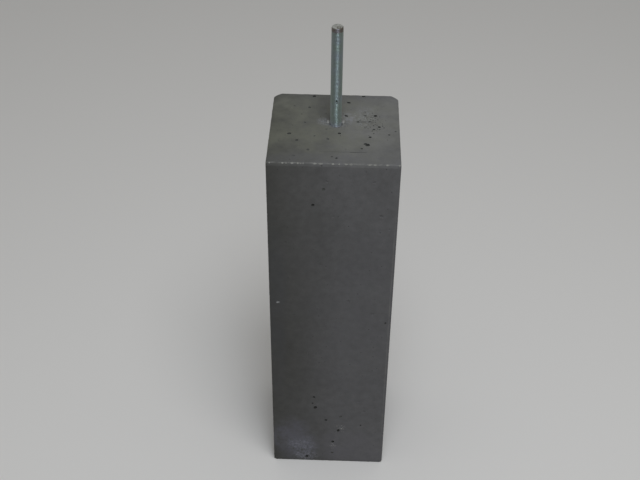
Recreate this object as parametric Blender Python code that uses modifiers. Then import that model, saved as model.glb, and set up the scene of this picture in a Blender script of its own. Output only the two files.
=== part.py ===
"""Column base block: a square cast concrete block with a zinc-plated threaded rod standing out of its top.

Run it with: blender --background --python part.py
Lengths are metres and +Z is up. The front face looks along -Y, and the origin is the middle of the underside.
"""

import math

import bmesh
import bpy
from mathutils import Matrix, Vector

# The block, as it comes out of its mould: it was cast lying on its back, in a trough with filleted corners
BLOCK_WIDTH = 0.180
BLOCK_DEPTH = 0.180
BLOCK_HEIGHT = 0.600
BACK_CHAMFER = 0.010
EDGE_ARRIS = 0.0015

# The threaded rod, M16 with its standard coarse pitch, cast in a little behind the middle of the top
ROD_DIAMETER = 0.016
THREAD_PITCH = 0.002
ROD_OUT = 0.150
ROD_BURIED = 0.100
ROD_ASIDE = 0.001
ROD_BACK = 0.010
ROD_END_CHAMFER = 0.002
ROD_GAP = 0.0003

# An ISO thread is cut 0.6134 of its pitch deep
THREAD_DEPTH = 0.6134 * THREAD_PITCH
THREAD_STEPS = 12
WELD_DISTANCE = 0.00001
SOCKET_SIDES = 48

# Bug-holes: open air bubbles, each as (share across the face, share up or back, width in metres).
# The shares run from -1 to 1 over the face, so the holes stay on it when the block changes size.
TOP_BUG_HOLES = (
    (-0.35, 0.92, 0.0055),
    (0.44, 0.95, 0.0050),
    (0.20, 0.75, 0.0050),
    (0.18, 0.35, 0.0055),
    (0.63, 0.37, 0.0055),
    (0.07, -0.16, 0.0050),
    (-0.69, -0.19, 0.0050),
    (0.54, -0.24, 0.0050),
    (0.49, -0.45, 0.0075),
    (0.69, 0.04, 0.0045),
    (0.60, -0.03, 0.0040),
    (-0.57, -0.37, 0.0040),
    (0.53, 0.18, 0.0040),
)
FRONT_BUG_HOLES = (
    (-0.14, 0.865, 0.0045),
    (-0.30, 0.775, 0.0055),
    (-0.17, 0.425, 0.0040),
    (-0.26, -0.487, 0.0040),
    (-0.24, -0.567, 0.0060),
    (-0.05, -0.663, 0.0040),
    (0.18, -0.743, 0.0050),
    (0.08, -0.835, 0.0050),
    (-0.39, -0.965, 0.0050),
)
BUG_HOLE_DEPTH = 0.40
BUG_HOLE_SINK = 0.06
BUG_HOLE_SIDES = 10
BUG_HOLE_RINGS = 6


def new_collection(name):
    collection = bpy.data.collections.new(name)
    bpy.context.scene.collection.children.link(collection)
    return collection


def new_material(name, colour, roughness, metallic):
    material = bpy.data.materials.new(name)
    material.use_nodes = True
    shader = material.node_tree.nodes["Principled BSDF"]
    shader.inputs["Base Color"].default_value = (*colour, 1.0)
    shader.inputs["Roughness"].default_value = roughness
    shader.inputs["Metallic"].default_value = metallic
    return material


def new_object(name, bm, collection):
    """Turns a bmesh into an object of the given collection."""
    mesh = bpy.data.meshes.new(name)
    bm.to_mesh(mesh)
    bm.free()
    obj = bpy.data.objects.new(name, mesh)
    collection.objects.link(obj)
    return obj


def as_cutter(obj):
    obj.hide_render = True
    obj.display_type = "WIRE"
    return obj


def add_cut(obj, cutter, name):
    boolean = obj.modifiers.new(name, "BOOLEAN")
    boolean.operation = "DIFFERENCE"
    boolean.solver = "EXACT"
    boolean.object = cutter


def make_block(collection):
    """The square block, standing on its underside, its two back edges chamfered by the mould's fillets."""
    bm = bmesh.new()
    size = Vector((BLOCK_WIDTH, BLOCK_DEPTH, BLOCK_HEIGHT))
    place = Matrix.Translation((0.0, 0.0, BLOCK_HEIGHT / 2.0))
    bmesh.ops.create_cube(bm, size=1.0, matrix=place @ Matrix.Diagonal((*size, 1.0)))
    weight = bm.edges.layers.float.new("bevel_weight_edge")
    for edge in bm.edges:
        a, b = (vert.co for vert in edge.verts)
        is_upright = abs(a.z - b.z) > BLOCK_HEIGHT / 2.0
        edge[weight] = 1.0 if is_upright and a.y > 0.0 else 0.0
    block = new_object("concrete_block", bm, collection)

    chamfer = block.modifiers.new("mould fillets", "BEVEL")
    chamfer.limit_method = "WEIGHT"
    chamfer.width = BACK_CHAMFER
    chamfer.segments = 1

    # Only square corners get the arris, so the long edges of the chamfers stay as the fillets left them
    arris = block.modifiers.new("arris", "BEVEL")
    arris.limit_method = "ANGLE"
    arris.angle_limit = math.radians(60.0)
    arris.width = EDGE_ARRIS
    arris.segments = 1

    concrete = new_material("anthracite concrete", (0.115, 0.113, 0.108), 0.85, 0.0)
    block.data.materials.append(concrete)
    return block


def make_socket_cutter(collection):
    """The hole that the concrete leaves round the buried part of the rod, a small gap wider and deeper."""
    depth = ROD_BURIED + ROD_GAP
    above = ROD_BURIED / 4.0
    bm = bmesh.new()
    middle = BLOCK_HEIGHT + (above - depth) / 2.0
    radius = ROD_DIAMETER / 2.0 + ROD_GAP
    bmesh.ops.create_cone(
        bm,
        cap_ends=True,
        segments=SOCKET_SIDES,
        radius1=radius,
        radius2=radius,
        depth=depth + above,
        matrix=Matrix.Translation((ROD_ASIDE, ROD_BACK, middle)),
    )
    return as_cutter(new_object("socket_cutter", bm, collection))


def make_bug_hole_cutter(collection):
    """Flattened balls sunk into the top and the front, where the real block has its larger air bubbles."""
    across = Vector((BLOCK_WIDTH / 2.0, 0.0, 0.0))
    back = Vector((0.0, BLOCK_DEPTH / 2.0, 0.0))
    up = Vector((0.0, 0.0, BLOCK_HEIGHT / 2.0))
    faces = (
        (TOP_BUG_HOLES, 2.0 * up, back, Vector((0.0, 0.0, 1.0))),
        (FRONT_BUG_HOLES, up - back, up, Vector((0.0, -1.0, 0.0))),
    )
    bm = bmesh.new()
    for holes, middle, along, outwards in faces:
        turn = outwards.to_track_quat("Z", "Y").to_matrix().to_4x4()
        for share_across, share_along, width in holes:
            place = middle + share_across * across + share_along * along - BUG_HOLE_SINK * width * outwards
            shape = Matrix.Diagonal((width / 2.0, width / 2.0, BUG_HOLE_DEPTH * width, 1.0))
            bmesh.ops.create_uvsphere(
                bm,
                u_segments=BUG_HOLE_SIDES,
                v_segments=BUG_HOLE_RINGS,
                radius=1.0,
                matrix=Matrix.Translation(place) @ turn @ shape,
            )
    return as_cutter(new_object("bug_hole_cutter", bm, collection))


def make_thread_surface(length):
    """A right-hand thread, swept from one pitch of its profile, that runs past both ends of the rod."""
    crest, root = ROD_DIAMETER / 2.0, ROD_DIAMETER / 2.0 - THREAD_DEPTH
    start = -1.5 * THREAD_PITCH
    profile = ((crest, start + THREAD_PITCH), (root, start + THREAD_PITCH / 2.0), (crest, start))
    mesh = bpy.data.meshes.new("thread profile")
    mesh.from_pydata([(radius, 0.0, height) for radius, height in profile], [(0, 1), (1, 2)], [])
    sweep = bpy.data.objects.new("thread profile", mesh)
    bpy.context.scene.collection.objects.link(sweep)

    screw = sweep.modifiers.new("thread", "SCREW")
    screw.axis = "Z"
    screw.angle = math.tau
    screw.screw_offset = THREAD_PITCH
    screw.iterations = math.ceil(length / THREAD_PITCH) + 2
    screw.steps = THREAD_STEPS
    screw.render_steps = THREAD_STEPS

    swept = sweep.evaluated_get(bpy.context.evaluated_depsgraph_get())
    bm = bmesh.new()
    bm.from_mesh(swept.to_mesh())
    swept.to_mesh_clear()
    bpy.data.objects.remove(sweep)
    bpy.data.meshes.remove(mesh)
    # Each turn starts where the one below it ends, so their shared edges are welded
    bmesh.ops.remove_doubles(bm, verts=bm.verts[:], dist=WELD_DISTANCE)
    return bm


def make_rod(collection):
    """The rod, its thread cut off square at both ends and chamfered, with its lower part in the concrete."""
    length = ROD_OUT + ROD_BURIED
    bm = make_thread_surface(length)
    for height, normal in ((0.0, (0, 0, -1)), (length, (0, 0, 1))):
        whole = bm.verts[:] + bm.edges[:] + bm.faces[:]
        bmesh.ops.bisect_plane(bm, geom=whole, plane_co=(0, 0, height), plane_no=normal, clear_outer=True)

    # The chamfer turns down whatever part of the thread stands outside its cone
    for vert in bm.verts:
        from_end = min(vert.co.z, length - vert.co.z)
        widest = ROD_DIAMETER / 2.0 - max(ROD_END_CHAMFER - from_end, 0.0)
        radius = math.hypot(vert.co.x, vert.co.y)
        if radius > widest:
            vert.co.x *= widest / radius
            vert.co.y *= widest / radius

    bmesh.ops.holes_fill(bm, edges=[edge for edge in bm.edges if edge.is_boundary], sides=0)
    bmesh.ops.recalc_face_normals(bm, faces=bm.faces[:])

    rod = new_object("threaded_rod", bm, collection)
    rod.location = (ROD_ASIDE, ROD_BACK, BLOCK_HEIGHT - ROD_BURIED)
    rod.data.shade_smooth()
    rod.data.set_sharp_from_angle(angle=math.radians(40.0))
    zinc = new_material("zinc plate", (0.56, 0.60, 0.62), 0.35, 1.0)
    rod.data.materials.append(zinc)
    return rod


def main():
    for obj in list(bpy.data.objects):
        bpy.data.objects.remove(obj, do_unlink=True)
    parts = new_collection("column_base_block")
    cutters = new_collection("cutters")
    block = make_block(parts)
    add_cut(block, make_socket_cutter(cutters), "rod socket")
    add_cut(block, make_bug_hole_cutter(cutters), "bug-holes")
    make_rod(parts)


main()
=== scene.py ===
# %% [markdown]
# # A cast column base block, step by step
# A column base block carries a post of a carport or a garden house. It is a square post of dense
# concrete that goes into the ground up to near its top, and a post shoe screws on to the rod in it.
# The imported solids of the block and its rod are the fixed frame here. They give every size, and each
# step dresses one of them in the finish that the real one has.

import math
import random

import bmesh
import bpy
from mathutils import Euler, Matrix, Vector


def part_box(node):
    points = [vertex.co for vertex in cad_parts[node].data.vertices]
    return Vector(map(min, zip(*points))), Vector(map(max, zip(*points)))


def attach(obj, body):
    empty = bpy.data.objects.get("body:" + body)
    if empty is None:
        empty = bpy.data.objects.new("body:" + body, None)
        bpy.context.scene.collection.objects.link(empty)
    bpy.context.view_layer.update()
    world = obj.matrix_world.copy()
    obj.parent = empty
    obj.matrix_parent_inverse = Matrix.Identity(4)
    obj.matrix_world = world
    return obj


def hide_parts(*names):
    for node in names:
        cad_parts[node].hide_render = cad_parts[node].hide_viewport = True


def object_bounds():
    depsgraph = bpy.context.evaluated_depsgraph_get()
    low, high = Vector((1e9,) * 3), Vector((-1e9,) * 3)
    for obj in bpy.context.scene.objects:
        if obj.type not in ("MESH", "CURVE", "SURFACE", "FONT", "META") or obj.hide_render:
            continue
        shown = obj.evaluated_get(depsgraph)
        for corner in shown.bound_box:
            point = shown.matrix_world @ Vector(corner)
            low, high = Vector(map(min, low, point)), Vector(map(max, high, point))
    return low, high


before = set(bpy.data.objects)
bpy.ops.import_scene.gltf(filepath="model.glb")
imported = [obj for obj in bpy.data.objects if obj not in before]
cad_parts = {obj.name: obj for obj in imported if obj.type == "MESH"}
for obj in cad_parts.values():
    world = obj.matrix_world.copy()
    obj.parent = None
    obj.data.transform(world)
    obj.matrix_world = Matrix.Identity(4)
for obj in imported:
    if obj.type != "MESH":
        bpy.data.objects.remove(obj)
cad_low, cad_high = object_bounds()
block_low, block_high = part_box("concrete_block")
rod_low, rod_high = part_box("threaded_rod")
MM = 0.001
cad_size = [round(side / MM, 1) for side in cad_high - cad_low]
print("nodes:", sorted(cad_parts), "in a box of", cad_size, "mm")

# %% [markdown]
# The photograph looks down on the block from a metre and a quarter in front of it, at about the height
# of a bent head. A camera could be turned by eye until the outline fits. Its place and angles here
# were solved from the block's corners instead, which leaves an error of about a pixel.

# %% The camera
CAMERA_PLACE = (0.0148, -1.2233, 1.3752)
LOOKS_DOWN = math.radians(38.53)
LOOKS_LEFT = math.radians(1.588)
ROLLS = math.radians(0.537)
SENSOR_WIDTH = 36.0
LENS = 58.51

bpy.ops.object.camera_add(location=CAMERA_PLACE)
camera = bpy.context.object
camera.name = "camera"
aim = Euler((math.radians(90.0) - LOOKS_DOWN, 0.0, LOOKS_LEFT)).to_matrix()
camera.rotation_euler = (aim @ Matrix.Rotation(ROLLS, 3, "Z")).to_euler()
camera.data.sensor_width = SENSOR_WIDTH
camera.data.lens = LENS
bpy.context.scene.camera = camera
print("camera:", LENS, "mm lens at", CAMERA_PLACE)

# %% [markdown]
# Operators act on whatever is selected, and the frame's own nodes are selected after loading. So each
# step first takes up one piece alone. Inside edit mode, faces and edges are picked by a rule about
# their place, the way a hand would box-select them.

# %% Take up a piece, and pick parts of it
def take_up(piece):
    """Makes this piece the only selected and active one."""
    if bpy.context.object and bpy.context.object.mode == "EDIT":
        bpy.ops.object.mode_set(mode="OBJECT")
    bpy.ops.object.select_all(action="DESELECT")
    piece.select_set(True)
    bpy.context.view_layer.objects.active = piece


def pick(kind, rule):
    """Selects, in edit mode, only the VERT, EDGE or FACE parts for which the rule is true."""
    bpy.ops.mesh.select_mode(type=kind)
    bpy.ops.mesh.select_all(action="DESELECT")
    mesh = bpy.context.object.data
    editable = bmesh.from_edit_mesh(mesh)
    parts = {"VERT": editable.verts, "EDGE": editable.edges, "FACE": editable.faces}[kind]
    chosen = [part for part in parts if rule(part)]
    for part in chosen:
        part.select_set(True)
    editable.select_flush_mode()
    bmesh.update_edit_mesh(mesh)
    return len(chosen)


def tell(piece):
    """Prints how large a finished piece is, how many triangles it has, and any edge that is left open."""
    check = bmesh.new()
    check.from_mesh(piece.data)
    open_edges = sum(not edge.is_manifold for edge in check.edges)
    triangles = sum(len(face.verts) - 2 for face in check.faces)
    check.free()
    size = [round(side / MM, 2) for side in piece.dimensions]
    print(f"{piece.name}: {size} mm, {triangles} triangles, {open_edges} open edges")


# %% [markdown]
# The block was cast lying on its back in a trough. The trough's filleted corners gave the two chamfers
# on its back, and its open side gave the sharp edges in front. It starts as a cube of the real size.
# Its back edges are bevelled once for the chamfers, and once more, finely, for the fillets' soft ends.

# %% The block as it leaves its mould
BACK_CHAMFER = 10 * MM
CHAMFER_ROUNDING = 2 * MM
SURELY_LONG = 100 * MM


def runs_up_the_back(edge):
    low, high = sorted(vert.co.z for vert in edge.verts)
    return high - low > SURELY_LONG and all(vert.co.y > 0.0 for vert in edge.verts)


bpy.ops.object.select_all(action="DESELECT")
bpy.ops.mesh.primitive_cube_add(size=1.0, location=(block_low + block_high) / 2, scale=block_high - block_low)
block = bpy.context.object
block.name = "concrete_body"
bpy.ops.object.transform_apply()
bpy.ops.object.mode_set(mode="EDIT")
pick("EDGE", runs_up_the_back)
bpy.ops.mesh.bevel(offset=BACK_CHAMFER, segments=1)
pick("EDGE", runs_up_the_back)
bpy.ops.mesh.bevel(offset=CHAMFER_ROUNDING, segments=2)
bpy.ops.object.mode_set(mode="OBJECT")
tell(block)

# %% [markdown]
# The edges of cast concrete are never knife sharp. They break back by a millimetre when the mould
# comes off, and by three along the front of the top, where the block was trowelled and knocked. Wear
# needs short edges to move, but only along the borders: six planes mark a narrow border on every
# face, the corners are bevelled, and the large faces come out while the borders are divided. Then
# the large faces are filled again, and they stay perfectly flat.

# %% Borders and arrises
BORDER = 4 * MM
ARRIS = 1.2 * MM
FRONT_ARRIS = 3.2 * MM
LONGEST_STEP = 4.1 * MM
SHARP_EDGE = math.radians(60.0)


def split(axis, place):
    """Divides, in edit mode, every face that crosses a plane square to the axis."""
    along = Vector((axis == 0, axis == 1, axis == 2))
    bpy.ops.mesh.select_all(action="SELECT")
    bpy.ops.mesh.bisect(plane_co=along * place, plane_no=along)


bpy.ops.object.mode_set(mode="EDIT")
for axis in range(3):
    split(axis, block_low[axis] + BORDER)
    split(axis, block_high[axis] - BORDER)
front_top = Vector((0.0, block_low.y, block_high.z))
pick("EDGE", lambda edge: all((vert.co - front_top).yz.length < MM for vert in edge.verts))
bpy.ops.mesh.bevel(offset=FRONT_ARRIS, segments=2)
pick("EDGE", lambda edge: edge.calc_face_angle(0.0) > SHARP_EDGE)
bpy.ops.mesh.bevel(offset=ARRIS, segments=2)
large_faces = pick("FACE", lambda face: face.calc_area() > SURELY_LONG ** 2)
bpy.ops.mesh.delete(type="ONLY_FACE")
while pick("EDGE", lambda edge: edge.calc_length() > LONGEST_STEP):
    bpy.ops.mesh.subdivide(number_cuts=1)
bpy.ops.mesh.select_all(action="SELECT")
bpy.ops.mesh.fill_holes(sides=0)
bpy.ops.mesh.normals_make_consistent(inside=False)
bpy.ops.object.mode_set(mode="OBJECT")
print(large_faces, "large faces were taken out and filled again")
tell(block)

# %% [markdown]
# Many holes are cut into these faces later, and a single face with forty holes in it is easily filled
# wrongly. So planes divide the block's faces into cells of 20 mm. The cells stay in one plane and are
# shaded flat, which makes the grid invisible.

# %% Cells
CELL = 20 * MM

bpy.ops.object.mode_set(mode="EDIT")
for axis in range(3):
    for number in range(1, round((block_high[axis] - block_low[axis]) / CELL)):
        split(axis, block_low[axis] + number * CELL)
bpy.ops.object.mode_set(mode="OBJECT")
tell(block)

# %% [markdown]
# Uneven wear follows no pattern, so noise moves the arrises. A Displace modifier with a cloud texture
# does that on a vertex group that holds only the arrises. Its middle level is 0 and its strength
# negative, so it only ever takes material away and the block stays inside its own size.

# %% Wear the arrises
WEAR_DEPTH = 0.55 * MM
WEAR_LENGTH = 7 * MM
NEAR_AN_ARRIS = 1.1 * FRONT_ARRIS


def lies_on_an_arris(vert):
    gaps = sorted(min(abs(vert.co[axis] - block_low[axis]), abs(vert.co[axis] - block_high[axis]))
                  for axis in range(3))
    return gaps[1] < NEAR_AN_ARRIS


bpy.ops.object.mode_set(mode="EDIT")
worn = pick("VERT", lies_on_an_arris)
bpy.ops.object.vertex_group_assign_new()
bpy.ops.object.mode_set(mode="OBJECT")
block.vertex_groups.active.name = "arrises"
clouds = bpy.data.textures.new("uneven wear", type="CLOUDS")
clouds.noise_scale = WEAR_LENGTH
wear = block.modifiers.new("wear", "DISPLACE")
wear.texture = clouds
wear.texture_coords = "LOCAL"
wear.vertex_group = "arrises"
wear.mid_level = 0.0
wear.strength = -WEAR_DEPTH
bpy.ops.object.modifier_apply(modifier=wear.name)
print(worn, "points of the arrises are worn by up to", WEAR_DEPTH / MM, "mm")
tell(block)

# %% [markdown]
# Chips, air bubbles and the rod's socket are all cut with Boolean modifiers, which make true edges
# where one form breaks into the other. Faces keep the material number of the tool that cut them, so
# the broken arrises and the bubbles' walls can have a finish of their own. The four finishes are
# only named here. Their nodes come later.

# %% Cutting tools
# Two finishes paint shade into hollows: a dark one for open and half open bubbles, the groove and the socket,
# and a paler one for faint bubbles.
CAST_FACE, SHADED_HOLLOW, PALER_SHADED_HOLLOW, BROKEN_EDGE = 0, 1, 2, 3
block_finishes = [bpy.data.materials.new(name) for name in (
    "anthracite cast concrete", "painted shade in a hollow", "paler painted shade in a bubble", "broken limy arris")]
for finish in block_finishes:
    block.data.materials.append(finish)


def rough_ball(name, roughness, divisions, seed):
    """A ball of radius 1 whose points are moved at random, as the pattern for bubbles or chips."""
    bpy.ops.object.select_all(action="DESELECT")
    bpy.ops.mesh.primitive_ico_sphere_add(subdivisions=divisions, radius=1.0)
    ball = bpy.context.object
    ball.name = name
    bpy.ops.object.mode_set(mode="EDIT")
    bpy.ops.mesh.select_all(action="SELECT")
    bpy.ops.transform.vertex_random(offset=roughness, uniform=0.0, normal=0.0, seed=seed)
    bpy.ops.object.mode_set(mode="OBJECT")
    return ball


def copy_to(pattern, place, turn, size):
    """A copy of the pattern with its own mesh, at a place, turned by a quaternion and scaled."""
    copy = pattern.copy()
    copy.data = pattern.data.copy()
    bpy.context.collection.objects.link(copy)
    copy.matrix_world = Matrix.LocRotScale(place, turn, size)
    return copy


def join(pieces, name):
    """Joins the pieces into one and brings its place into its mesh."""
    take_up(pieces[0])
    for piece in pieces:
        piece.select_set(True)
    bpy.ops.object.join()
    bpy.ops.object.transform_apply()
    bpy.context.object.name = name
    return bpy.context.object


def cut(piece, tool, finishes, finish_number, operation="DIFFERENCE"):
    """Cuts the piece with the tool, whose faces leave the numbered finish, and removes the tool."""
    for finish in finishes:
        tool.data.materials.append(finish)
    for face in tool.data.polygons:
        face.material_index = finish_number
    take_up(piece)
    boolean = piece.modifiers.new("cut", "BOOLEAN")
    boolean.operation = operation
    boolean.solver = "EXACT"
    boolean.object = tool
    bpy.ops.object.modifier_apply(modifier=boolean.name)
    bpy.data.objects.remove(tool)
    tell(piece)


# %% [markdown]
# The front top arris has been knocked along its whole length. What shows is a broken row of pale
# dashes, each a shallow shell of 2 to 7 mm where a flake came off. Their places are read off the
# photograph, and they sit on the upper half of the arris. A rough ball is put there for each, sunk in
# by the flake's depth. The other edges have fewer ones, at seeded random places, and the two lowest
# front corners are broken.

# %% Chips along the edges
# Each flake as its place along the front top arris from the middle, and its length, in millimetres
FRONT_FLAKES = ((-84.8, 3.0), (-67.5, 4.0), (-62.5, 2.5), (-54.5, 5.0), (-47.0, 3.2), (-43.3, 2.8),
                (-39.8, 2.8), (-24.5, 6.5), (-17.0, 6.5), (-0.5, 5.0), (7.5, 3.5), (17.0, 5.0),
                (23.3, 5.0), (48.0, 7.0), (55.3, 6.0), (71.5, 5.0), (87.5, 3.5))
FLAKE_ROW = front_top + Vector((0.0, 0.65, -0.15)) * FRONT_ARRIS
FLAKE_DEPTH = 1.0 * MM
FLAKE_ROUNDNESS = 1.9 * MM
OUT_OF_THE_ROW = Vector((0, -1, 2.4))
CORNER_BREAK = 4.4 * MM
CORNER_ROUNDNESS = 11 * MM

dice = random.Random(4)
flake = rough_ball("flake", roughness=0.16, divisions=2, seed=3)
flakes, struck = [], []


def strike(corner, along, outwards, length, depth=FLAKE_DEPTH, roundness=FLAKE_ROUNDNESS):
    """Puts a flake's ball on an arris: the corner's place, the arris' direction, and the way out of it."""
    out = outwards.normalized()
    turn = Matrix((along, out.cross(along), out)).transposed().to_quaternion()
    size = Vector((length / 2, roundness, roundness))
    flakes.append(copy_to(flake, corner + out * (roundness - depth), turn, size))
    struck.append((corner, length))


for place, length in FRONT_FLAKES:
    strike(FLAKE_ROW + Vector((place * MM, 0.0, 0.0)), Vector((1, 0, 0)), OUT_OF_THE_ROW, length * MM)
for side in (-1, 1):
    foot_corner = Vector((side * block_high.x, block_low.y, block_low.z))
    strike(foot_corner, Vector((0.0, 1.0, -1.0)).normalized(), Vector((side, -1, -1)), 2 * CORNER_ROUNDNESS,
           CORNER_BREAK, CORNER_ROUNDNESS)
print(len(flakes), "flakes in front")

# %% More chips, on the edges that show less
EDGE_FLAKES = {"upright": 14, "side": 4, "foot": 5}
FLAKE_ROOM = 0.65
# From least to most: the share of the way along an edge, and a flake's length and depth in millimetres
SHARES_OF_AN_EDGE = (0.05, 0.95)
LENGTHS = (2.0, 5.5)
DEPTHS = (1.1, 1.5)
CLEAR_OF_CORNERS = Vector((0.0, 0.0, 15 * MM))


def random_flake(start, end, outwards):
    """Strikes an edge at a random place, unless the new flake would cut into another one."""
    spot = start.lerp(end, dice.uniform(*SHARES_OF_AN_EDGE))
    length = dice.uniform(*LENGTHS) * MM
    depth = dice.uniform(*DEPTHS) * MM
    if all((spot - other).length > FLAKE_ROOM * (length + taken) for other, taken in struck):
        strike(spot, (end - start).normalized(), outwards, length, depth)


for side in (-1, 1):
    edge_x = side * block_high.x
    back_y = block_high.y - BACK_CHAMFER
    corner = Vector((edge_x, block_low.y, block_high.z))
    foot = Vector((edge_x, block_low.y, block_low.z))
    for _ in range(EDGE_FLAKES["upright"]):
        random_flake(foot + CLEAR_OF_CORNERS, corner - CLEAR_OF_CORNERS, Vector((side, -1, 0)))
    for _ in range(EDGE_FLAKES["side"]):
        random_flake(corner, Vector((edge_x, back_y, block_high.z)), Vector((side, 0, 1)))
        random_flake(foot, Vector((edge_x, back_y, block_low.z)), Vector((side, 0, -1)))
foot_left = Vector((block_low.x + BACK_CHAMFER, 0.0, 0.0))
foot_right = Vector((block_high.x - BACK_CHAMFER, 0.0, 0.0))
for _ in range(EDGE_FLAKES["foot"]):
    for face_y, out_y in ((block_low.y, -1), (block_high.y, 1)):
        level = Vector((0.0, face_y, 0.0))
        random_flake(foot_left + level, foot_right + level, Vector((0, out_y, -1)))
bpy.data.objects.remove(flake)
flake_count = len(flakes)
cut(block, join(flakes, "flakes"), block_finishes, BROKEN_EDGE)
print(flake_count, "flakes cut")

# %% [markdown]
# Air that can't escape while concrete is poured leaves bubbles against the mould. They open as round
# pits, called bug-holes. They could be painted as dots, but a real pit holds a real shadow. An open
# one is a deep pit and a half open one a bowl, and both have walls painted dark as painted shade; a
# faint one is a shallow dish with a paler painted shade in it, and a healed one is a dish that the
# paste has closed. The kind says how far the ball sinks in, how deep it is, and the wall's finish.

# %% Where the bubbles are
# For each kind: the sink as a share of the width, the depth as a share of the radius, the finish
BUBBLE_KINDS = {"open": (0.12, 0.9, SHADED_HOLLOW), "half open": (0.0, 0.8, SHADED_HOLLOW),
                "faint": (-0.14, 0.6, PALER_SHADED_HOLLOW), "healed": (-0.16, 0.6, CAST_FACE)}
# Each bubble as its place from the middle of the top, to the right and to the back, and its width, in mm
TOP_BUBBLES = {
    "open": ((-31.5, 83.3, 5.0), (39.8, 86.0, 4.4), (18.5, 67.6, 5.0), (15.4, 31.5, 4.8), (56.4, 33.2, 5.2),
             (6.6, -14.2, 4.6), (48.7, -22.0, 4.2), (45.2, -41.4, 6.6), (61.5, 4.2, 4.4)),
    "half open": ((42.0, -38.9, 4.4), (-62.3, -17.1, 5.0), (54.0, -2.2, 3.6), (-51.2, -33.4, 4.0),
                  (37.3, -50.6, 3.2), (75.0, -15.0, 3.2), (3.8, -75.0, 3.4)),
    "faint": ((42.0, 33.0, 4.4), (83.8, -6.0, 3.4), (-27.5, -21.8, 3.2), (-42.0, 12.0, 3.8),
              (-37.0, 52.5, 5.0), (-9.0, -28.6, 5.4), (-11.6, -4.0, 3.0), (-35.0, -56.0, 5.0),
              (-53.6, -71.0, 4.4), (-2.5, -71.6, 3.8), (48.6, 18.4, 4.2), (32.0, 16.6, 5.0)),
    "healed": ((22.0, 48.0, 4.0), (68.0, 60.0, 4.6), (-66.0, 40.0, 5.0), (10.0, -48.0, 4.4)),
}
# Each bubble as its place to the right of the front's middle and up from its foot, and its width, in mm
FRONT_BUBBLES = {
    "open": ((-26.8, 532.8, 4.6), (-21.7, 130.0, 6.0), (16.0, 77.0, 5.4), (7.5, 49.2, 4.8),
             (-35.1, 10.6, 5.6)),
    "half open": ((-23.8, 154.0, 4.4), (-4.2, 101.0, 4.6), (51.8, 91.0, 2.8), (81.6, 318.0, 3.0),
                  (-26.0, 139.6, 3.2)),
    "faint": ((-12.6, 559.2, 5.6), (19.2, 110.3, 5.4), (6.8, 21.5, 5.0)),
    "healed": ((-7.8, 572.0, 5.0), (55.5, 572.4, 5.0), (1.4, 514.0, 5.0), (67.2, 515.8, 8.0),
               (78.4, 494.0, 4.6), (43.6, 588.5, 4.0), (-15.7, 427.6, 5.0), (56.2, 124.0, 7.0),
               (25.7, 359.0, 7.0), (61.7, 335.0, 7.0), (-54.2, 329.6, 5.0), (-65.0, 466.5, 5.0),
               (46.6, 146.0, 5.0)),
}

up, right, back = Vector((0, 0, 1)), Vector((1, 0, 0)), Vector((0, 1, 0))
bubbles = {kind: [] for kind in BUBBLE_KINDS}
for kind, made in bubbles.items():
    made += [(up * block_high.z + right * x * MM + back * y * MM, up, width * MM)
             for x, y, width in TOP_BUBBLES[kind]]
    made += [(back * block_low.y + right * x * MM + up * z * MM, -back, width * MM)
             for x, z, width in FRONT_BUBBLES[kind]]
print({kind: len(made) for kind, made in bubbles.items()}, "bubbles on the top and in front")

# %% [markdown]
# The hidden sides get a seeded scatter of plainer bubbles, and right of the rod the photograph shows a
# spray of very small ones. A random place is only used where it is clear of all the others, because
# balls that cut into each other would spoil the Boolean.

# %% A scatter and a spray of bubbles
HIDDEN_SIDE_BUBBLES = 20
LEAST_WIDTH, WIDTH_SPREAD = 2.2, 3.0
CLEAR_OF_EDGES = 9 * MM
SPRAY_BUBBLES = 60
SPRAY_MIDDLE = (52 * MM, 16 * MM)
SPRAY_SPREAD = (7 * MM, 15 * MM)
SPRAY_WIDTHS = (1.0, 2.1)
ROOM_FOR_BOTH = 0.75


def scatter(kind, place, outwards, width):
    """Adds a bubble, unless it would come too close to another."""
    if all((place - other).length > ROOM_FOR_BOTH * (width + taken)
           for made in bubbles.values() for other, _, taken in made):
        bubbles[kind].append((place, outwards, width))


HIDDEN_SIDES = ((-right, back, block_high.x), (right, back, block_high.x), (back, right, block_high.y))
for outwards, across, wall in HIDDEN_SIDES:
    reach = block_high.x - BACK_CHAMFER - CLEAR_OF_EDGES
    for _ in range(HIDDEN_SIDE_BUBBLES):
        height = dice.uniform(CLEAR_OF_EDGES, block_high.z - CLEAR_OF_EDGES)
        width = (LEAST_WIDTH + WIDTH_SPREAD * dice.random() ** 2) * MM
        place = outwards * wall + across * dice.uniform(-reach, reach) + up * height
        scatter(dice.choice(list(BUBBLE_KINDS)), place, outwards, width)
for _ in range(SPRAY_BUBBLES):
    x, y = (dice.gauss(middle, spread) for middle, spread in zip(SPRAY_MIDDLE, SPRAY_SPREAD))
    scatter("half open", up * block_high.z + right * x + back * y, up, dice.uniform(*SPRAY_WIDTHS) * MM)
print({kind: len(made) for kind, made in bubbles.items()}, "bubbles in all")

# %% Cut the bubbles
FINE_BALL_FROM = 2 * MM
LONGEST_OVAL = 1.25

fine_ball = rough_ball("fine ball", roughness=0.10, divisions=3, seed=8)
plain_ball = rough_ball("plain ball", roughness=0.14, divisions=2, seed=8)
for kind, (sink, depth, finish_number) in BUBBLE_KINDS.items():
    balls = []
    for place, outwards, width in bubbles[kind]:
        spin = Euler((0.0, 0.0, dice.uniform(0.0, math.tau))).to_quaternion()
        turn = outwards.to_track_quat("Z", "Y") @ spin
        longer = dice.uniform(1.0, LONGEST_OVAL)
        size = Vector((longer, 1.0 / longer, depth)) * width / 2
        ball = fine_ball if width > FINE_BALL_FROM else plain_ball
        balls.append(copy_to(ball, place - outwards * sink * width, turn, size))
    cut(block, join(balls, kind + " bubbles"), block_finishes, finish_number)
bpy.data.objects.remove(fine_ball)
bpy.data.objects.remove(plain_ball)

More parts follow.
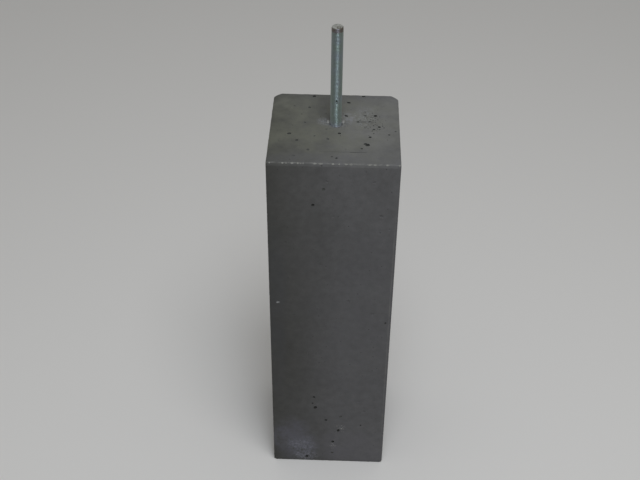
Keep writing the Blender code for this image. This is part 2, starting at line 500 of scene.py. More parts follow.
# %% [markdown]
# A thin groove, 31 mm long, lies in the top 30 mm behind the front edge. It may be the mark of the
# board that closed the mould's end. The rod stands in a socket that fits its thread. Both are cut with
# plain tools: a wedge made from a thin cube, and a cylinder.

# %% The groove and the socket
GROOVE_START, GROOVE_END = 17 * MM, 48 * MM
GROOVE_BACK = 30 * MM
GROOVE_WIDTH = 0.9 * MM
GROOVE_DEPTH = 0.7 * MM
GROOVE_TAPER = (0.55, 0.25, 1.0)
SOCKET_GAP = 0.3 * MM
ROUND_SIDES = 64

bpy.ops.object.select_all(action="DESELECT")
groove_place = Vector(((GROOVE_START + GROOVE_END) / 2, block_low.y + GROOVE_BACK, block_high.z))
bpy.ops.mesh.primitive_cube_add(size=1.0, location=groove_place,
                                scale=(GROOVE_END - GROOVE_START, GROOVE_WIDTH, 2 * GROOVE_DEPTH))
groove = bpy.context.object
bpy.ops.object.transform_apply()
bpy.ops.object.mode_set(mode="EDIT")
pick("EDGE", lambda edge: abs(edge.verts[0].co.x - edge.verts[1].co.x) > GROOVE_DEPTH
     and edge.verts[0].co.z < block_high.z)
bpy.ops.transform.resize(value=GROOVE_TAPER, center_override=groove_place)
bpy.ops.object.mode_set(mode="OBJECT")
# The groove's walls take the painted shade of the hollows.
cut(block, groove, block_finishes, SHADED_HOLLOW)

rod_middle = (rod_low + rod_high) / 2
rod_radius = (rod_high.x - rod_low.x) / 2
rod_foot = Vector((rod_middle.x, rod_middle.y, block_high.z))
socket_depth = block_high.z - rod_low.z + SOCKET_GAP
bpy.ops.object.select_all(action="DESELECT")
bpy.ops.mesh.primitive_cylinder_add(vertices=ROUND_SIDES, radius=rod_radius + SOCKET_GAP,
                                    depth=2 * socket_depth, location=rod_foot)
cut(block, bpy.context.object, block_finishes, SHADED_HOLLOW)

# %% [markdown]
# The cuts leave a closed mesh. Merging close points in it would do harm, because a face that loses a
# point of a hole's border vanishes, so the faces are only turned outwards. Smoothing stops at 20
# degrees, so the worn arrises and the bubbles' walls stay rough. The faces of the cells are shaded
# flat, because a smoothed one would show streaks round each hole.

# %% Finish the block's mesh
SMOOTHED_BELOW = math.radians(20.0)
FLAT_FACE = 0.9999
LEAST_CELL = 2 * MM


def finish_mesh(piece, smoothed_below=SMOOTHED_BELOW):
    """Turns all faces outwards and smooths the shading up to an angle."""
    take_up(piece)
    bpy.ops.object.mode_set(mode="EDIT")
    bpy.ops.mesh.select_all(action="SELECT")
    bpy.ops.mesh.normals_make_consistent(inside=False)
    bpy.ops.object.mode_set(mode="OBJECT")
    bpy.ops.object.shade_smooth_by_angle(angle=smoothed_below)
    tell(piece)


finish_mesh(block)
bpy.ops.object.mode_set(mode="EDIT")
pick("FACE", lambda face: face.calc_area() > LEAST_CELL ** 2 and max(map(abs, face.normal)) > FLAT_FACE)
bpy.ops.mesh.faces_shade_flat()
bpy.ops.object.mode_set(mode="OBJECT")
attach(block, "root")
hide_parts("concrete_block")

# %% [markdown]
# The rod is threaded from end to end, so one pitch of its profile, turned up round its axis, makes all
# of it. A plane merged to one point and pulled out with extrusions draws that pitch: crest, flank,
# root, flank. A rolled thread has rounded crests and roots, and its line of light comes from them, so
# a small step eases each corner. The Screw modifier sweeps it, and each turn is welded to the next.

# %% The thread
PITCH = 2 * MM
THREAD_DEPTH = 0.6134 * PITCH
CREST = 0.10 * MM
FLANK_ANGLE = math.radians(30.0)
CORNER_EASE = 0.15 * MM
EASED = Vector((-math.sin(FLANK_ANGLE), 0.0, math.cos(FLANK_ANGLE))) * CORNER_EASE
FLANK = Vector((-1.0, 0.0, math.tan(FLANK_ANGLE))) * (THREAD_DEPTH + 2 * EASED.x)
ROOT = PITCH - CREST - 4 * EASED.z - 2 * FLANK.z
STEPS_IN_A_TURN = 32
TURNS_PAST_AN_END = 2
WELD_DISTANCE = 0.005 * MM

rod_length = rod_high.z - rod_low.z
start_height = rod_low.z - TURNS_PAST_AN_END * PITCH
bpy.ops.object.select_all(action="DESELECT")
bpy.ops.mesh.primitive_plane_add(size=PITCH, location=(rod_middle.x, rod_middle.y, start_height))
rod = bpy.context.object
rod.name = "zinc_rod"
bpy.ops.object.mode_set(mode="EDIT")
bpy.ops.mesh.select_mode(type="VERT")
bpy.ops.mesh.select_all(action="SELECT")
bpy.ops.mesh.merge(type="CENTER")
bpy.ops.transform.translate(value=(rod_radius, 0.0, 0.0))
inwards = (EASED, FLANK, EASED)
outwards = [Vector((-step.x, 0.0, step.z)) for step in inwards]
for step in (Vector((0.0, 0.0, CREST)), *inwards, Vector((0.0, 0.0, ROOT)), *outwards):
    bpy.ops.mesh.extrude_region_move(TRANSFORM_OT_translate={"value": step})
bpy.ops.object.mode_set(mode="OBJECT")
sweep = rod.modifiers.new("sweep", "SCREW")
sweep.axis = "Z"
sweep.angle = math.tau
sweep.screw_offset = PITCH
sweep.iterations = round(rod_length / PITCH) + 2 * TURNS_PAST_AN_END
sweep.steps = STEPS_IN_A_TURN
sweep.render_steps = STEPS_IN_A_TURN
bpy.ops.object.modifier_apply(modifier=sweep.name)
bpy.ops.object.transform_apply()
bpy.ops.object.mode_set(mode="EDIT")
bpy.ops.mesh.select_all(action="SELECT")
bpy.ops.mesh.remove_doubles(threshold=WELD_DISTANCE)
print("thread:", round(PITCH / MM, 2), "mm pitch,", round(THREAD_DEPTH / MM, 3), "mm deep")

# %% [markdown]
# The rod is sawn off and its end is chamfered, so that a nut starts easily. The sweep runs past both
# ends. It is capped there, and what a turned blank with a chamfered end has in common with it is the
# finished rod. The blank's faces bring the bare sawn steel with them.

# %% Saw off and chamfer the ends
ZINC, SAWN_STEEL, DIRT = 0, 1, 2
END_CHAMFER = 2 * MM
BLANK_SPARE = 1 * MM

for side, height in ((-1.0, rod_low.z - PITCH), (1.0, rod_high.z + PITCH)):
    bpy.ops.mesh.select_all(action="SELECT")
    bpy.ops.mesh.bisect(plane_co=(0.0, 0.0, height), plane_no=(0.0, 0.0, side),
                        clear_outer=True, use_fill=True)
bpy.ops.mesh.select_all(action="SELECT")
bpy.ops.mesh.normals_make_consistent(inside=False)
bpy.ops.object.mode_set(mode="OBJECT")

rod_finishes = [bpy.data.materials.new(name) for name in (
    "blue passivated zinc plate", "sawn mild steel", "dirt in the thread")]
for finish in rod_finishes:
    rod.data.materials.append(finish)
bpy.ops.object.select_all(action="DESELECT")
bpy.ops.mesh.primitive_cylinder_add(vertices=ROUND_SIDES, radius=rod_radius + BLANK_SPARE,
                                    depth=rod_length, location=rod_middle)
blank = bpy.context.object
bpy.ops.object.transform_apply()
bpy.ops.object.mode_set(mode="EDIT")
pick("EDGE", lambda edge: abs(edge.verts[0].co.z - edge.verts[1].co.z) < MM)
bpy.ops.mesh.bevel(offset=END_CHAMFER + BLANK_SPARE, segments=1)
bpy.ops.object.mode_set(mode="OBJECT")
cut(rod, blank, rod_finishes, SAWN_STEEL, "INTERSECT")

# %% [markdown]
# Forty millimetres above the concrete something has struck the thread and crushed two crests. The
# highlight breaks there in the photograph. A small rough ball cuts the dent.

# %% A dent in the thread
DENT_HEIGHT = 40 * MM
DENT_SIZE = (1.6 * MM, 1.3 * MM, 2.6 * MM)
DENT_TURN = math.radians(6.0)
THREAD_SMOOTHED_BELOW = math.radians(38.0)

dent = rough_ball("dent", roughness=0.12, divisions=2, seed=5)
dent_out = Vector((math.sin(DENT_TURN), -math.cos(DENT_TURN), 0.0))
dent_place = Vector((rod_middle.x, rod_middle.y, block_high.z + DENT_HEIGHT)) + dent_out * rod_radius
dent.matrix_world = Matrix.LocRotScale(dent_place, None, Vector(DENT_SIZE))
take_up(dent)
bpy.ops.object.transform_apply()
cut(rod, dent, rod_finishes, DIRT)
finish_mesh(rod, THREAD_SMOOTHED_BELOW)
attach(rod, "root")
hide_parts("threaded_rod")

# %% [markdown]
# Where the rod leaves the concrete, cement paste has crept up and dried as a pale, crumbly collar. It
# is a flat ring with a lumpy surface, and crumbs lie round it, most of them to its left and right. A
# torus is squashed and moved by noise for the ring, and rough balls are scattered for the crumbs.

# %% The collar of dried paste
COLLAR_RADIUS = 9.0 * MM
COLLAR_THICKNESS = 0.9 * MM
COLLAR_FLATNESS = 0.45
LUMP_HEIGHT, LUMP_WIDTH = 0.6 * MM, 2.4 * MM
MOSTLY_INWARDS = 0.9
CRUMBS = 60
CRUMBS_FAN = 0.7
CRUMBS_START = (0.4, 1.0)
CRUMBS_REACH = 8 * MM
CRUMB_SIZES = (0.3, 0.75)
CRUMB_SHAPE = Vector((1.3, 1.0, 0.6))
CRUMB_SMOOTHED_BELOW = math.radians(50.0)

bpy.ops.object.select_all(action="DESELECT")
bpy.ops.mesh.primitive_torus_add(major_segments=72, minor_segments=12, major_radius=COLLAR_RADIUS,
                                 minor_radius=COLLAR_THICKNESS, location=rod_foot)
ring = bpy.context.object
ring.scale.z = COLLAR_FLATNESS
bpy.ops.object.transform_apply()
lumps = bpy.data.textures.new("lumps of paste", type="CLOUDS")
lumps.noise_scale = LUMP_WIDTH
knead = ring.modifiers.new("knead", "DISPLACE")
knead.texture = lumps
knead.texture_coords = "LOCAL"
knead.mid_level = MOSTLY_INWARDS
knead.strength = LUMP_HEIGHT
bpy.ops.object.modifier_apply(modifier=knead.name)

crumb = rough_ball("crumb", roughness=0.2, divisions=1, seed=2)
collar_parts = [ring]
for _ in range(CRUMBS):
    angle = dice.choice((0.0, math.pi)) + dice.gauss(0.0, CRUMBS_FAN)
    away = COLLAR_RADIUS + COLLAR_THICKNESS * dice.uniform(*CRUMBS_START) + CRUMBS_REACH * dice.random() ** 2
    size = dice.uniform(*CRUMB_SIZES) * MM
    place = Vector((rod_foot.x + away * math.cos(angle), rod_foot.y + away * math.sin(angle), rod_foot.z))
    turn = Euler((0.0, 0.0, dice.uniform(0.0, math.tau))).to_quaternion()
    collar_parts.append(copy_to(crumb, place, turn, CRUMB_SHAPE * size))
bpy.data.objects.remove(crumb)
collar = join(collar_parts, "paste_collar")
collar.data.materials.clear()
finish_mesh(collar, CRUMB_SMOOTHED_BELOW)
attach(collar, "root")

# %% [markdown]
# Materials are built from nodes, and every one starts from what the real surface is. One function
# turns an sRGB colour, as read off a picture, into the linear one that the shader needs. One gives a
# node's inputs their values and links, and one adds a node with them. A node that is given to another
# one's input stands for its main output. Patterns are given by the size of their features in
# millimetres.

# %% Helpers for materials
# The numbers of a Mix node's inputs for colours
MIX_A, MIX_B = 6, 7
MINERAL_IOR = 1.5


def linear(hex_colour):
    """The linear colour, with alpha 1, of an sRGB hex value such as #6A6B67."""
    shares = [int(hex_colour[start:start + 2], 16) / 255 for start in (1, 3, 5)]
    return (*((s / 12.92 if s <= 0.04045 else ((s + 0.055) / 1.055) ** 2.4) for s in shares), 1.0)


def give(tree, node, inputs):
    """Gives each named input of a node a value, or a link from a socket or a node's main output."""
    for socket, value in inputs.items():
        if isinstance(value, bpy.types.Node):
            value = next(output for output in value.outputs if output.enabled and output.name != "Color")
        if isinstance(value, bpy.types.NodeSocket):
            tree.links.new(value, node.inputs[socket])
        else:
            node.inputs[socket].default_value = value


def add(tree, kind, inputs, **settings):
    """Adds a node, sets its properties and gives it its inputs."""
    node = tree.nodes.new("ShaderNode" + kind)
    for name, value in settings.items():
        setattr(node, name, value)
    give(tree, node, inputs)
    return node


def features(millimetres):
    """The scale of a noise or cell pattern whose features are that many millimetres across."""
    return 1.0 / (millimetres * MM)


def start_material(material):
    """Gives the material nodes, and returns its tree, its shader and the piece's own coordinates."""
    material.use_nodes = True
    tree = material.node_tree
    place = add(tree, "TexCoord", {}).outputs["Object"]
    return tree, tree.nodes["Principled BSDF"], place


SWAY = 1.3
SOFT_BORDER = 0.6


def soft_spot(tree, place, middle, reach, ragged, wisps_from, wisps_to):
    """A mask, strongest in the middle of an ellipsoid with a wandering border, and broken into wisps."""
    sway = SWAY * reach
    wander = add(tree, "TexNoise", {"Vector": place, "Scale": 1.0 / max(reach), "Detail": 3.0})
    swayed = add(tree, "VectorMath", {0: wander.outputs["Color"], 1: sway, 2: place},
                 operation="MULTIPLY_ADD")
    moved = add(tree, "Mapping", {"Vector": swayed, "Location": middle + sway / 2, "Scale": reach},
                vector_type="TEXTURE")
    ball = add(tree, "TexGradient", {"Vector": moved}, gradient_type="SPHERICAL")
    spread = add(tree, "MapRange", {"Value": ball, "From Max": SOFT_BORDER},
                 interpolation_type="SMOOTHSTEP")
    noise = add(tree, "TexNoise", {"Vector": place, "Scale": features(ragged), "Detail": 5.0,
                                   "Roughness": 0.65})
    wisps = add(tree, "MapRange", {"Value": noise, "From Min": wisps_from, "From Max": wisps_to})
    return add(tree, "Math", {0: spread, 1: wisps}, operation="MULTIPLY")


# %% [markdown]
# Anthracite cast concrete: grey cement with iron oxide black in it, poured against smooth boards. It
# is matt, and its colour is cloudy in wide soft patches where the paste dried at different speeds.
# The sand shows as a fine grain. The clouds are noise of 70 mm, the blotches noise of 11 mm, and the
# grain of 1.3 mm is a little coarser than most of the sand so that it shows. A ramp from left to right
# paints the block's left side darker and a little olive, as painted shade where the light falls off
# towards the left, and a noise of 60 mm makes the ramp wander.

# %% The body colour of the concrete
CLOUD_SIZE, BLOTCH_SIZE, GRAIN_SIZE = 70, 11, 1.3
DARK_SIDE_ENDS = 18 * MM
SIDE_WANDERS, WANDER_SIZE = 60 * MM, 60
cast, cast_shader, cast_place = start_material(block_finishes[CAST_FACE])
axes = add(cast, "SeparateXYZ", {"Vector": cast_place})
clouds_of_paste = add(cast, "TexNoise", {"Vector": cast_place, "Scale": features(CLOUD_SIZE), "Detail": 2.0})
blotches = add(cast, "TexNoise", {"Vector": cast_place, "Scale": features(BLOTCH_SIZE), "Detail": 4.0,
                                  "Roughness": 0.6})
sand = add(cast, "TexNoise", {"Vector": cast_place, "Scale": features(GRAIN_SIZE), "Detail": 2.0})
wide = add(cast, "Math", {0: clouds_of_paste, 1: 0.4, 2: -0.25}, operation="MULTIPLY_ADD")
wider = add(cast, "Math", {0: blotches, 1: 0.8, 2: wide}, operation="MULTIPLY_ADD")
tone = add(cast, "Math", {0: sand, 1: 0.3, 2: wider}, operation="MULTIPLY_ADD")
body = add(cast, "Mix", {"Factor": tone, MIX_A: linear("#4A4A4B"), MIX_B: linear("#6A6A6C")},
           data_type="RGBA")
wandering = add(cast, "TexNoise", {"Vector": cast_place, "Scale": features(WANDER_SIZE), "Detail": 3.0})
sideways = add(cast, "Math", {0: wandering, 1: SIDE_WANDERS, 2: axes.outputs["X"]},
               operation="MULTIPLY_ADD")
# Painted shade: the left side darker and a little olive, where the light falls off.
left_side_painted_shade = add(cast, "MapRange", {"Value": sideways, "To Min": 1.0, "To Max": 0.0,
                                   "From Min": block_low.x + SIDE_WANDERS / 2,
                                   "From Max": DARK_SIDE_ENDS + SIDE_WANDERS / 2})
colour = add(cast, "Mix", {"Factor": left_side_painted_shade, MIX_A: body, MIX_B: linear("#BEBEB4")},
             data_type="RGBA", blend_type="MULTIPLY")
print("concrete: clouds of", CLOUD_SIZE, "mm, blotches of", BLOTCH_SIZE, "mm, grain of", GRAIN_SIZE, "mm")

# %% [markdown]
# Stains are colour alone, so they stay flat. Three rows of the table are painted shade instead: the
# rod's shadow on the top, the front darker than the top, and a darker band down the front's left side.
# Each is an ellipsoid of paler or darker colour round a point of the block, mixed over what is below
# it. A cloudy one is nearly whole, a wispy one is broken up, and specks are what is left of a fine
# noise when only its peaks count.

# %% Lime smears, stains and painted shade
CLOUDY, WISPY, SPECKS = (0.25, 0.60), (0.42, 0.68), (0.56, 0.64)
# Each stain or painted shade as its middle and its reach along x, y and z in mm, how broken up it is
# and by what size of noise in mm, its colour and its strength
STAINS_AND_PAINTED_SHADE = (
    ((-30, 0, 600), (150, 150, 14), CLOUDY, 40, "#6A6B60", 0.60),
    ((0, -84, 600), (150, 22, 10), CLOUDY, 30, "#58585C", 0.36),
    ((62, 20, 600), (80, 110, 12), CLOUDY, 24, "#7C7C79", 0.40),
    ((-58, 56, 600), (52, 44, 8), CLOUDY, 30, "#76776E", 0.26),
    ((34, 34, 600), (30, 32, 8), WISPY, 7, "#9498A0", 0.14),
    ((46, 22, 600), (26, 26, 6), WISPY, 4.0, "#4A4A48", 0.40),
    ((44, 28, 600), (20, 40, 6), SPECKS, 2.2, "#A4A8B0", 0.38),
    # Painted shadow of the rod, on the top behind it and to its left.
    ((-14, 56, 600), (16, 46, 6), CLOUDY, 14, "#4A4A46", 0.20),
    ((14, -60, 600), (52, 1.3, 3), CLOUDY, 9, "#3C3C3A", 0.55),
    ((40, 17, 600), (20, 3.4, 3), CLOUDY, 5, "#3E3E3C", 0.55),
    ((1, 8, 600), (22, 15, 3), WISPY, 2.2, "#8A8E96", 0.28),
    ((-15, 14, 600), (11, 15, 4), WISPY, 2.5, "#A2A6B6", 0.34),
    ((18, 24, 600), (14, 18, 4), WISPY, 5, "#9294A2", 0.40),
    ((-10, 15, 600), (2.4, 6, 3), CLOUDY, 3, "#BEBEBA", 0.60),
    ((11.5, 16, 600), (2.2, 5, 3), CLOUDY, 3, "#B6B6B4", 0.55),
    # Painted shade: the whole front darker than the top, as the light falls from above.
    ((-10, -91, 260), (150, 10, 400), CLOUDY, 60, "#404042", 0.24),
    ((50, -90, 250), (110, 10, 330), CLOUDY, 60, "#64646A", 0.14),
    ((40, -90, 30), (90, 10, 60), CLOUDY, 25, "#66646C", 0.30),
    # Painted shade: a darker band down the front's left side, where the light falls off.
    ((-84, -90, 330), (22, 16, 330), CLOUDY, 50, "#42444A", 0.30),
    ((86.5, -90, 300), (1.4, 3, 330), CLOUDY, 14, "#8C8C88", 0.20),
    ((-58, -90, 52), (44, 8, 54), CLOUDY, 14, "#6E6E7E", 0.34),
    ((-42, -90, 34), (34, 8, 36), WISPY, 6, "#9092A6", 0.30),
    ((-44, -90, 40), (26, 6, 22), WISPY, 2.6, "#A0A4B4", 0.24),
    ((-38, -90, 13), (26, 6, 14), WISPY, 2.4, "#A8AABA", 0.36),
    ((20, -90, 83), (11, 5, 11), SPECKS, 2.2, "#D0D0CC", 0.68),
    ((6, -90, 39), (8, 5, 8), SPECKS, 1.4, "#B4B4B4", 0.80),
    ((-77.5, -90, 354.5), (3.4, 4, 2.6), CLOUDY, 4, "#B0B2B4", 0.62),
)
for middle, reach, (wisps_from, wisps_to), noise_size, shade, strength in STAINS_AND_PAINTED_SHADE:
    metres = [Vector(values) * MM for values in (middle, reach)]
    mask = soft_spot(cast, cast_place, *metres, noise_size, wisps_from, wisps_to)
    share = add(cast, "Math", {0: mask, 1: strength}, operation="MULTIPLY")
    colour = add(cast, "Mix", {"Factor": share, MIX_A: colour, MIX_B: linear(shade)}, data_type="RGBA")
print(len(STAINS_AND_PAINTED_SHADE), "stains")

# %% [markdown]
# The upper border of the front arris is painted pale along its whole length, between its flakes too:
# partly rubbing wear, partly a painted highlight where the arris faces the light. The mask for that is
# the product of two ramps, one that fades down from the top face and one that fades just behind the
# arris, and a noise that is drawn out along the edge.

# %% The rubbed and highlit front arris
PALE_BAND_DOWN = 1.6 * MM
PALE_BAND_BACK = 0.6 * MM
near_top = add(cast, "MapRange", {"Value": axes.outputs["Z"], "From Min": block_high.z - PALE_BAND_DOWN,
                                  "From Max": block_high.z - PALE_BAND_DOWN / 3})
arris_back = block_low.y + FRONT_ARRIS
near_front = add(cast, "MapRange", {"Value": axes.outputs["Y"], "From Min": arris_back + PALE_BAND_BACK,
                                    "From Max": arris_back + PALE_BAND_BACK / 3})
drawn_out = add(cast, "Mapping", {"Vector": cast_place, "Scale": (1.0, 3.0, 3.0)})
patchy = add(cast, "TexNoise", {"Vector": drawn_out, "Scale": features(6), "Detail": 3.0})
arris_band = add(cast, "Math", {0: near_top, 1: near_front}, operation="MULTIPLY")
rub_and_highlight = add(cast, "Math", {0: arris_band, 1: patchy}, operation="MULTIPLY")
# Partly rubbing wear, partly painted highlight along the front arris.
rub_and_highlight_share = add(cast, "MapRange", {"Value": rub_and_highlight, "From Min": 0.36, "From Max": 0.66, "To Max": 0.26})
arris = add(cast, "Mix", {"Factor": rub_and_highlight_share, MIX_A: colour, MIX_B: linear("#A2A29E")},
            data_type="RGBA")

# %% [markdown]
# Under the colour lies the relief that is too fine to model: sand grain of a tenth of a millimetre,
# the shallow waves that the boards left, and pinholes. The pinholes are the centres of a cell pattern,
# 9 mm apart on average, and only where noise lets them show. They are deep, and painted dark as well,
# as painted shade in them.

# %% Grain, waves and pinholes
PINHOLE_SPACING, WAVE_SIZE = 9, 35
pits = add(cast, "TexVoronoi", {"Vector": cast_place, "Scale": features(PINHOLE_SPACING)})
pit = add(cast, "MapRange", {"Value": pits, "From Min": 0.06, "From Max": 0.11,
                             "To Min": 1.0, "To Max": 0.0})
where = add(cast, "MapRange", {"Value": blotches, "From Min": 0.5, "From Max": 0.56})
pinhole = add(cast, "Math", {0: pit, 1: where}, operation="MULTIPLY")
# Painted shade in each pinhole, which is only a bump.
pinhole_painted_shade = add(cast, "Math", {0: pinhole, 1: 0.7}, operation="MULTIPLY")
with_pinhole_shade = add(cast, "Mix", {"Factor": pinhole_painted_shade, MIX_A: arris, MIX_B: linear("#2E2F2E")}, data_type="RGBA")
waves = add(cast, "TexNoise", {"Vector": cast_place, "Scale": features(WAVE_SIZE), "Detail": 1.0})
waved = add(cast, "Bump", {"Height": waves, "Distance": 0.6 * MM, "Strength": 0.5})
grained = add(cast, "Bump", {"Height": sand, "Distance": 0.12 * MM, "Normal": waved})
holed = add(cast, "Bump", {"Height": pinhole, "Distance": 0.8 * MM, "Normal": grained}, invert=True)
give(cast, cast_shader, {"Base Color": with_pinhole_shade, "Normal": holed, "Roughness": 0.88, "IOR": MINERAL_IOR})
print(len(cast.nodes), "nodes in the cast concrete")

# %% [markdown]
# The wall of a bubble is painted darker than the face, as painted shade in the pit, and it is a little
# glossy; the groove and the socket take the same finish. A faint bubble gets a paler painted shade. A
# broken arris is the opposite, a rough break through cement and sand, whitened by lime. Each is one
# noise between two tones, so one function makes them.

# %% Bubble walls and broken edges
def mottled(material, noise_size, detail, swing, dark, pale, relief, roughness):
    """A finish that a noise wanders from dark to pale and raises. Its size and relief are in mm."""
    tree, shader, place = start_material(material)
    noise = add(tree, "TexNoise", {"Vector": place, "Scale": features(noise_size), "Detail": detail})
    share = add(tree, "MapRange", {"Value": noise, "From Min": 0.5 - swing, "From Max": 0.5 + swing})
    mixed = add(tree, "Mix", {"Factor": share, MIX_A: linear(dark), MIX_B: linear(pale)},
                data_type="RGBA")
    give(tree, shader, {"Base Color": mixed, "Roughness": roughness, "IOR": MINERAL_IOR})
    if relief:
        raised = add(tree, "Bump", {"Height": noise, "Distance": relief * MM})
        give(tree, shader, {"Normal": raised})


# Painted shade in the hollows: dark in open and half open bubbles and the groove, paler in faint ones.
mottled(block_finishes[SHADED_HOLLOW], 3, 3.0, 0.5, "#262726", "#4A4B49", relief=0, roughness=0.7)
mottled(block_finishes[PALER_SHADED_HOLLOW], 3, 3.0, 0.5, "#363736", "#585957", relief=0, roughness=0.9)
mottled(block_finishes[BROKEN_EDGE], 1.5, 4.0, 0.2, "#666664", "#8F8F8B", relief=0.4, roughness=0.92)

# %% [markdown]
# The collar is cement paste that dried thin and turned white with lime: chalky, with bluish and grey
# patches.

# %% Dried paste
paste = bpy.data.materials.new("dried cement paste")
collar.data.materials.append(paste)
mottled(paste, 2.2, 4.0, 0.15, "#464746", "#74777A", relief=0.3, roughness=0.95)

# %% [markdown]
# Zinc plate: zinc laid on by electroplating and then dipped in a passivating bath, which leaves a film
# with a faint blue and green cast. It is half glossy. In the thread's roots its colour is darker and
# duller, and the lowest turns wear a veil of dried paste. A Mapping node moves the coordinates to the
# rod's axis and flattens them, so that their length is the distance from that axis.

# %% Zinc plate
zinc, zinc_shader, zinc_place = start_material(rod_finishes[ZINC])
film = add(zinc, "TexNoise", {"Vector": zinc_place, "Scale": features(14), "Detail": 2.0})
film_spread = add(zinc, "MapRange", {"Value": film, "From Min": 0.35, "From Max": 0.65})
plate = add(zinc, "Mix", {"Factor": film_spread, MIX_A: linear("#9DABA5"),
                          MIX_B: linear("#A0AAAF")}, data_type="RGBA")
from_axis = add(zinc, "Mapping", {"Vector": zinc_place, "Location": (-rod_middle.x, -rod_middle.y, 0.0),
                                  "Scale": (1.0, 1.0, 0.0)})
distance = add(zinc, "VectorMath", {0: from_axis}, operation="LENGTH")
in_root = add(zinc, "MapRange", {"Value": distance, "From Min": rod_radius - THREAD_DEPTH,
                                 "From Max": rod_radius - THREAD_DEPTH / 3, "To Min": 0.35, "To Max": 0.0})
# The colour is darker towards the thread's roots.
darker_in_roots = add(zinc, "Mix", {"Factor": in_root, MIX_A: plate, MIX_B: linear("#525856")}, data_type="RGBA")
smudges = add(zinc, "TexNoise", {"Vector": zinc_place, "Scale": features(5), "Detail": 3.0})
gloss = add(zinc, "MapRange", {"Value": smudges, "From Min": 0.3, "From Max": 0.7,
                               "To Min": 0.41, "To Max": 0.47})
give(zinc, zinc_shader, {"Roughness": gloss})

# %% [markdown]
# Two things lie over the zinc. Near the sawn end, the heat and the damp of the cut have left it brown
# and lilac grey. At its foot, paste has splashed up the first turns. Both are masks by height that
# noise breaks up.

# %% Rust above, paste below
END_STAIN, END_STAIN_WHOLE = 8 * MM, 6.4 * MM
PASTE_SPLASH = 11 * MM
height = add(zinc, "SeparateXYZ", {"Vector": zinc_place})
flecks = add(zinc, "TexNoise", {"Vector": zinc_place, "Scale": features(2.5), "Detail": 4.0})
near_end = add(zinc, "MapRange", {"Value": height.outputs["Z"], "From Min": rod_high.z - END_STAIN,
                                  "From Max": rod_high.z - END_STAIN_WHOLE})
flecked = add(zinc, "MapRange", {"Value": flecks, "From Min": 0.22, "From Max": 0.45})
brown = add(zinc, "Math", {0: near_end, 1: flecked}, operation="MULTIPLY")
tarnish = add(zinc, "Mix", {"Factor": film_spread, MIX_A: linear("#7E766A"),
                            MIX_B: linear("#A09EAA")}, data_type="RGBA")
browned = add(zinc, "Mix", {"Factor": brown, MIX_A: darker_in_roots, MIX_B: tarnish}, data_type="RGBA")
near_foot = add(zinc, "MapRange", {"Value": height.outputs["Z"], "From Min": block_high.z,
                                   "From Max": block_high.z + PASTE_SPLASH, "To Min": 1.0, "To Max": 0.0})
splash = add(zinc, "Math", {0: near_foot, 1: 0.9, 2: flecks}, operation="MULTIPLY_ADD")
splashed = add(zinc, "MapRange", {"Value": splash, "From Min": 0.9, "From Max": 1.5})
veil = add(zinc, "Mix", {"Factor": splashed, MIX_A: browned, MIX_B: linear("#8E949E")}, data_type="RGBA")
metal_left = add(zinc, "MapRange", {"Value": splashed, "To Min": 1.0, "To Max": 0.4})
give(zinc, zinc_shader, {"Base Color": veil, "Metallic": metal_left})
print(len(zinc.nodes), "nodes in the zinc plate")

# %% [markdown]
# The sawn end is bare mild steel, scored by the blade and browned by a first bloom of rust. The dent
# holds oily dirt.

# %% Sawn steel and dirt
steel, steel_shader, steel_place = start_material(rod_finishes[SAWN_STEEL])
scores = add(steel, "TexWave", {"Vector": steel_place, "Scale": features(12), "Distortion": 3.0,
                                "Detail": 2.0})
rust = add(steel, "TexNoise", {"Vector": steel_place, "Scale": features(4), "Detail": 4.0})
rusty = add(steel, "MapRange", {"Value": rust, "From Min": 0.42, "From Max": 0.60})
steel_tone = add(steel, "Mix", {"Factor": rusty, MIX_A: linear("#CDD0CC"),
                                MIX_B: linear("#5C584F")}, data_type="RGBA")
scored = add(steel, "Bump", {"Height": scores, "Distance": 0.05 * MM})
bare = add(steel, "MapRange", {"Value": rusty, "To Min": 0.85, "To Max": 0.3})
give(steel, steel_shader, {"Base Color": steel_tone, "Normal": scored,
                           "Metallic": bare, "Roughness": 0.30})
mottled(rod_finishes[DIRT], 1.5, 3.0, 0.5, "#1E201E", "#4A4A44", relief=0, roughness=0.75)

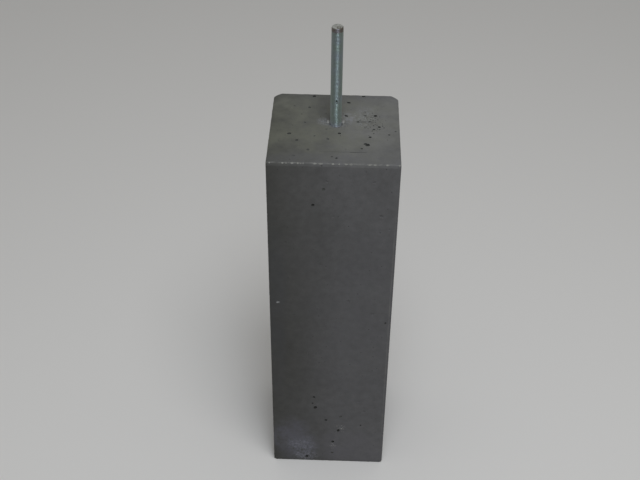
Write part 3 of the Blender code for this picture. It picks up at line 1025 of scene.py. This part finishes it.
# %% [markdown]
# The stage is plain: a pale floor, an even pale room, and one large soft lamp high up in front, a
# little to the right, as the photograph's soft shadow beside the rod says. Its reflection would drown
# the thread, so it is kept out of glossy reflections. A tall, narrow, dim and slightly blue lamp draws
# the rod's thin line of light instead. It is tall so that the line runs on from turn to turn.

# %% Floor and light
FLOOR_SIZE = 60.0
LAMP_PLACE = Vector((0.30, -0.92, 2.70))
LAMP_SIZE = 1.3
LAMP_POWER = 25.0
GLINT_PLACE = Vector((0.13, -0.93, 2.32))
GLINT_WIDTH, GLINT_HEIGHT = 0.42, 1.3
GLINT_POWER = 7.4
ROOM_LIGHT = 0.34

bpy.ops.object.select_all(action="DESELECT")
bpy.ops.mesh.primitive_plane_add(size=FLOOR_SIZE, location=(0.0, 0.0, block_low.z))
floor = bpy.context.object
floor.name = "floor"
floor_finish = bpy.data.materials.new("pale floor")
floor.data.materials.append(floor_finish)
floor_tree, floor_shader, _ = start_material(floor_finish)
give(floor_tree, floor_shader, {"Base Color": linear("#E3E2E1"), "Roughness": 0.7})


def hang_lamp(name, shape, size, power, place, target):
    """Hangs a lamp that is turned to its target and that the camera doesn't see."""
    bpy.ops.object.light_add(type="AREA", location=place)
    hung = bpy.context.object
    hung.name = name
    hung.data.shape = shape
    hung.data.size = size
    hung.data.energy = power
    hung.visible_camera = False
    hung.rotation_euler = (place - target).to_track_quat("Z", "Y").to_euler()
    return hung


lamp = hang_lamp("soft lamp", "DISK", LAMP_SIZE, LAMP_POWER, LAMP_PLACE, (block_low + block_high) / 2)
lamp.visible_glossy = False
glint = hang_lamp("glint lamp", "RECTANGLE", GLINT_WIDTH, GLINT_POWER, GLINT_PLACE, rod_middle)
glint.data.size_y = GLINT_HEIGHT
glint.data.color = linear("#E6F2FF")[:3]
room = bpy.data.worlds.new("pale room")
room.use_nodes = True
give(room.node_tree, room.node_tree.nodes["Background"], {"Color": linear("#F6F5F1"), "Strength": ROOM_LIGHT})
bpy.context.scene.world = room
bpy.context.scene.view_settings.view_transform = "Standard"
print("lamp:", LAMP_POWER, "W at", [round(side, 2) for side in LAMP_PLACE])
